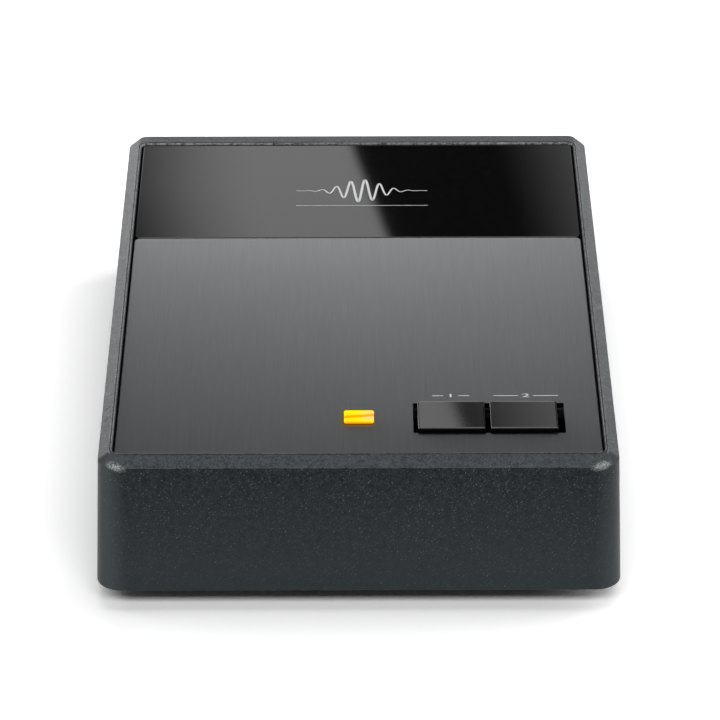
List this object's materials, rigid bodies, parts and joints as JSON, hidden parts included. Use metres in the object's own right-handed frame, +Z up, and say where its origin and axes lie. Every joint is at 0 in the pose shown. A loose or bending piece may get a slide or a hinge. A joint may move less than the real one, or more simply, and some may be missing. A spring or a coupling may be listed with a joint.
{
  "type": "phono preamp",
  "caption": "Compact desktop phono preamp: cast case with bevelled rim, brushed and gloss top panels, two push buttons, amber indicator, rear phono sockets and ground post.",
  "frame": {"origin": "on the floor under the middle of the whole unit, sockets included", "axes": "+Z up, -Y towards the front (buttons side), +X to the right seen from the front"},
  "size_m": [0.1016, 0.161, 0.0338],
  "materials": {
    "case_paint": "fine textured dark blue-grey paint on cast aluminium",
    "trim_aluminium": "dark anodised, brushed front to back",
    "gloss_black": "polished black",
    "adhesive": "double-sided sheet",
    "amber_lens": "clear amber, lit from below",
    "black_plastic": "moulded",
    "white_plastic": "moulded",
    "red_plastic": "moulded",
    "spring_steel": "bright wire",
    "board_green": "solder resist over glass laminate",
    "capacitor_sleeve": "sleeved can",
    "black_steel": "black powder coat",
    "screw_steel": "black zinc",
    "rubber": "matt",
    "gold_plate": "gold plated"
  },
  "bodies": {
    "case": {"housing": "case_paint", "trim_plate": "trim_aluminium", "gloss_panel": "gloss_black", "trim_plate_adhesive": "adhesive", "gloss_panel_adhesive": "adhesive", "indicator_lens": "amber_lens", "indicator_led": "amber_lens", "mono_switch_body": "black_plastic", "filter_switch_body": "black_plastic", "dc_jack_body": "black_plastic", "left_input_socket_body": "black_plastic", "right_input_socket_body": "black_plastic", "left_output_socket_body": "black_plastic", "right_output_socket_body": "black_plastic", "op_amps": "black_plastic", "voltage_regulators": "black_plastic", "left_input_insulator": "white_plastic", "left_output_insulator": "white_plastic", "right_input_insulator": "red_plastic", "right_output_insulator": "red_plastic", "film_capacitors": "red_plastic", "left_gain_switch_body": "red_plastic", "right_gain_switch_body": "red_plastic", "mono_switch_spring": "spring_steel", "filter_switch_spring": "spring_steel", "circuit_board": "board_green", "electrolytic_capacitors": "capacitor_sleeve", "base_plate": "black_steel", "rear_panel": "black_steel", "base_screws": "screw_steel", "board_screws": "screw_steel", "rear_panel_screws": "screw_steel", "left_front_foot": "rubber", "left_rear_foot": "rubber", "right_front_foot": "rubber", "right_rear_foot": "rubber", "left_input_barrel": "gold_plate", "right_input_barrel": "gold_plate", "left_output_barrel": "gold_plate", "right_output_barrel": "gold_plate", "socket_contacts": "gold_plate", "ground_stud": "gold_plate", "ground_lock_nut": "gold_plate", "dc_jack_pin": "gold_plate"},
    "mono_button": {"mono_button": "gloss_black", "mono_switch_plunger": "white_plastic"},
    "filter_button": {"filter_button": "gloss_black", "filter_switch_plunger": "white_plastic"},
    "ground_washer": {"ground_washer": "gold_plate"},
    "ground_thumb_nut": {"ground_thumb_nut": "gold_plate"},
    "left_gain_slider_1": {"left_gain_slider_1": "white_plastic"},
    "left_gain_slider_2": {"left_gain_slider_2": "white_plastic"},
    "left_gain_slider_3": {"left_gain_slider_3": "white_plastic"},
    "left_gain_slider_4": {"left_gain_slider_4": "white_plastic"},
    "right_gain_slider_1": {"right_gain_slider_1": "white_plastic"},
    "right_gain_slider_2": {"right_gain_slider_2": "white_plastic"},
    "right_gain_slider_3": {"right_gain_slider_3": "white_plastic"},
    "right_gain_slider_4": {"right_gain_slider_4": "white_plastic"}
  },
  "joints": [
    {"name": "mono_button_press", "type": "slide", "parent": "case", "child": "mono_button", "axis": [0, 0, -1], "range_m": [0, 0.0018], "stiffness_N_per_m": 200, "springref_m": -0.003, "deforming": ["mono_switch_spring"]},
    {"name": "filter_button_press", "type": "slide", "parent": "case", "child": "filter_button", "axis": [0, 0, -1], "range_m": [0, 0.0018], "stiffness_N_per_m": 200, "springref_m": -0.003, "deforming": ["filter_switch_spring"]},
    {"name": "left_gain_slider_1_slide", "type": "slide", "parent": "case", "child": "left_gain_slider_1", "axis": [0, 1, 0], "range_m": [0, 0.0016]},
    {"name": "left_gain_slider_2_slide", "type": "slide", "parent": "case", "child": "left_gain_slider_2", "axis": [0, 1, 0], "range_m": [0, 0.0016]},
    {"name": "left_gain_slider_3_slide", "type": "slide", "parent": "case", "child": "left_gain_slider_3", "axis": [0, 1, 0], "range_m": [0, 0.0016]},
    {"name": "left_gain_slider_4_slide", "type": "slide", "parent": "case", "child": "left_gain_slider_4", "axis": [0, 1, 0], "range_m": [0, 0.0016]},
    {"name": "right_gain_slider_1_slide", "type": "slide", "parent": "case", "child": "right_gain_slider_1", "axis": [0, 1, 0], "range_m": [0, 0.0016]},
    {"name": "right_gain_slider_2_slide", "type": "slide", "parent": "case", "child": "right_gain_slider_2", "axis": [0, 1, 0], "range_m": [0, 0.0016]},
    {"name": "right_gain_slider_3_slide", "type": "slide", "parent": "case", "child": "right_gain_slider_3", "axis": [0, 1, 0], "range_m": [0, 0.0016]},
    {"name": "right_gain_slider_4_slide", "type": "slide", "parent": "case", "child": "right_gain_slider_4", "axis": [0, 1, 0], "range_m": [0, 0.0016]},
    {"name": "ground_washer_slide", "type": "slide", "parent": "case", "child": "ground_washer", "axis": [0, 1, 0], "range_m": [0, 0.003]},
    {"name": "ground_nut_turn", "type": "hinge", "parent": "ground_washer", "child": "ground_thumb_nut", "pos_m": [0.0075, 0.075, 0.0201], "axis": [0, 1, 0], "range_deg": [0, 1543]}
  ],
  "couplings": [
    {"joint": "ground_nut_turn", "follows": "ground_washer_slide", "rad_per_m": 8976}
  ]
}
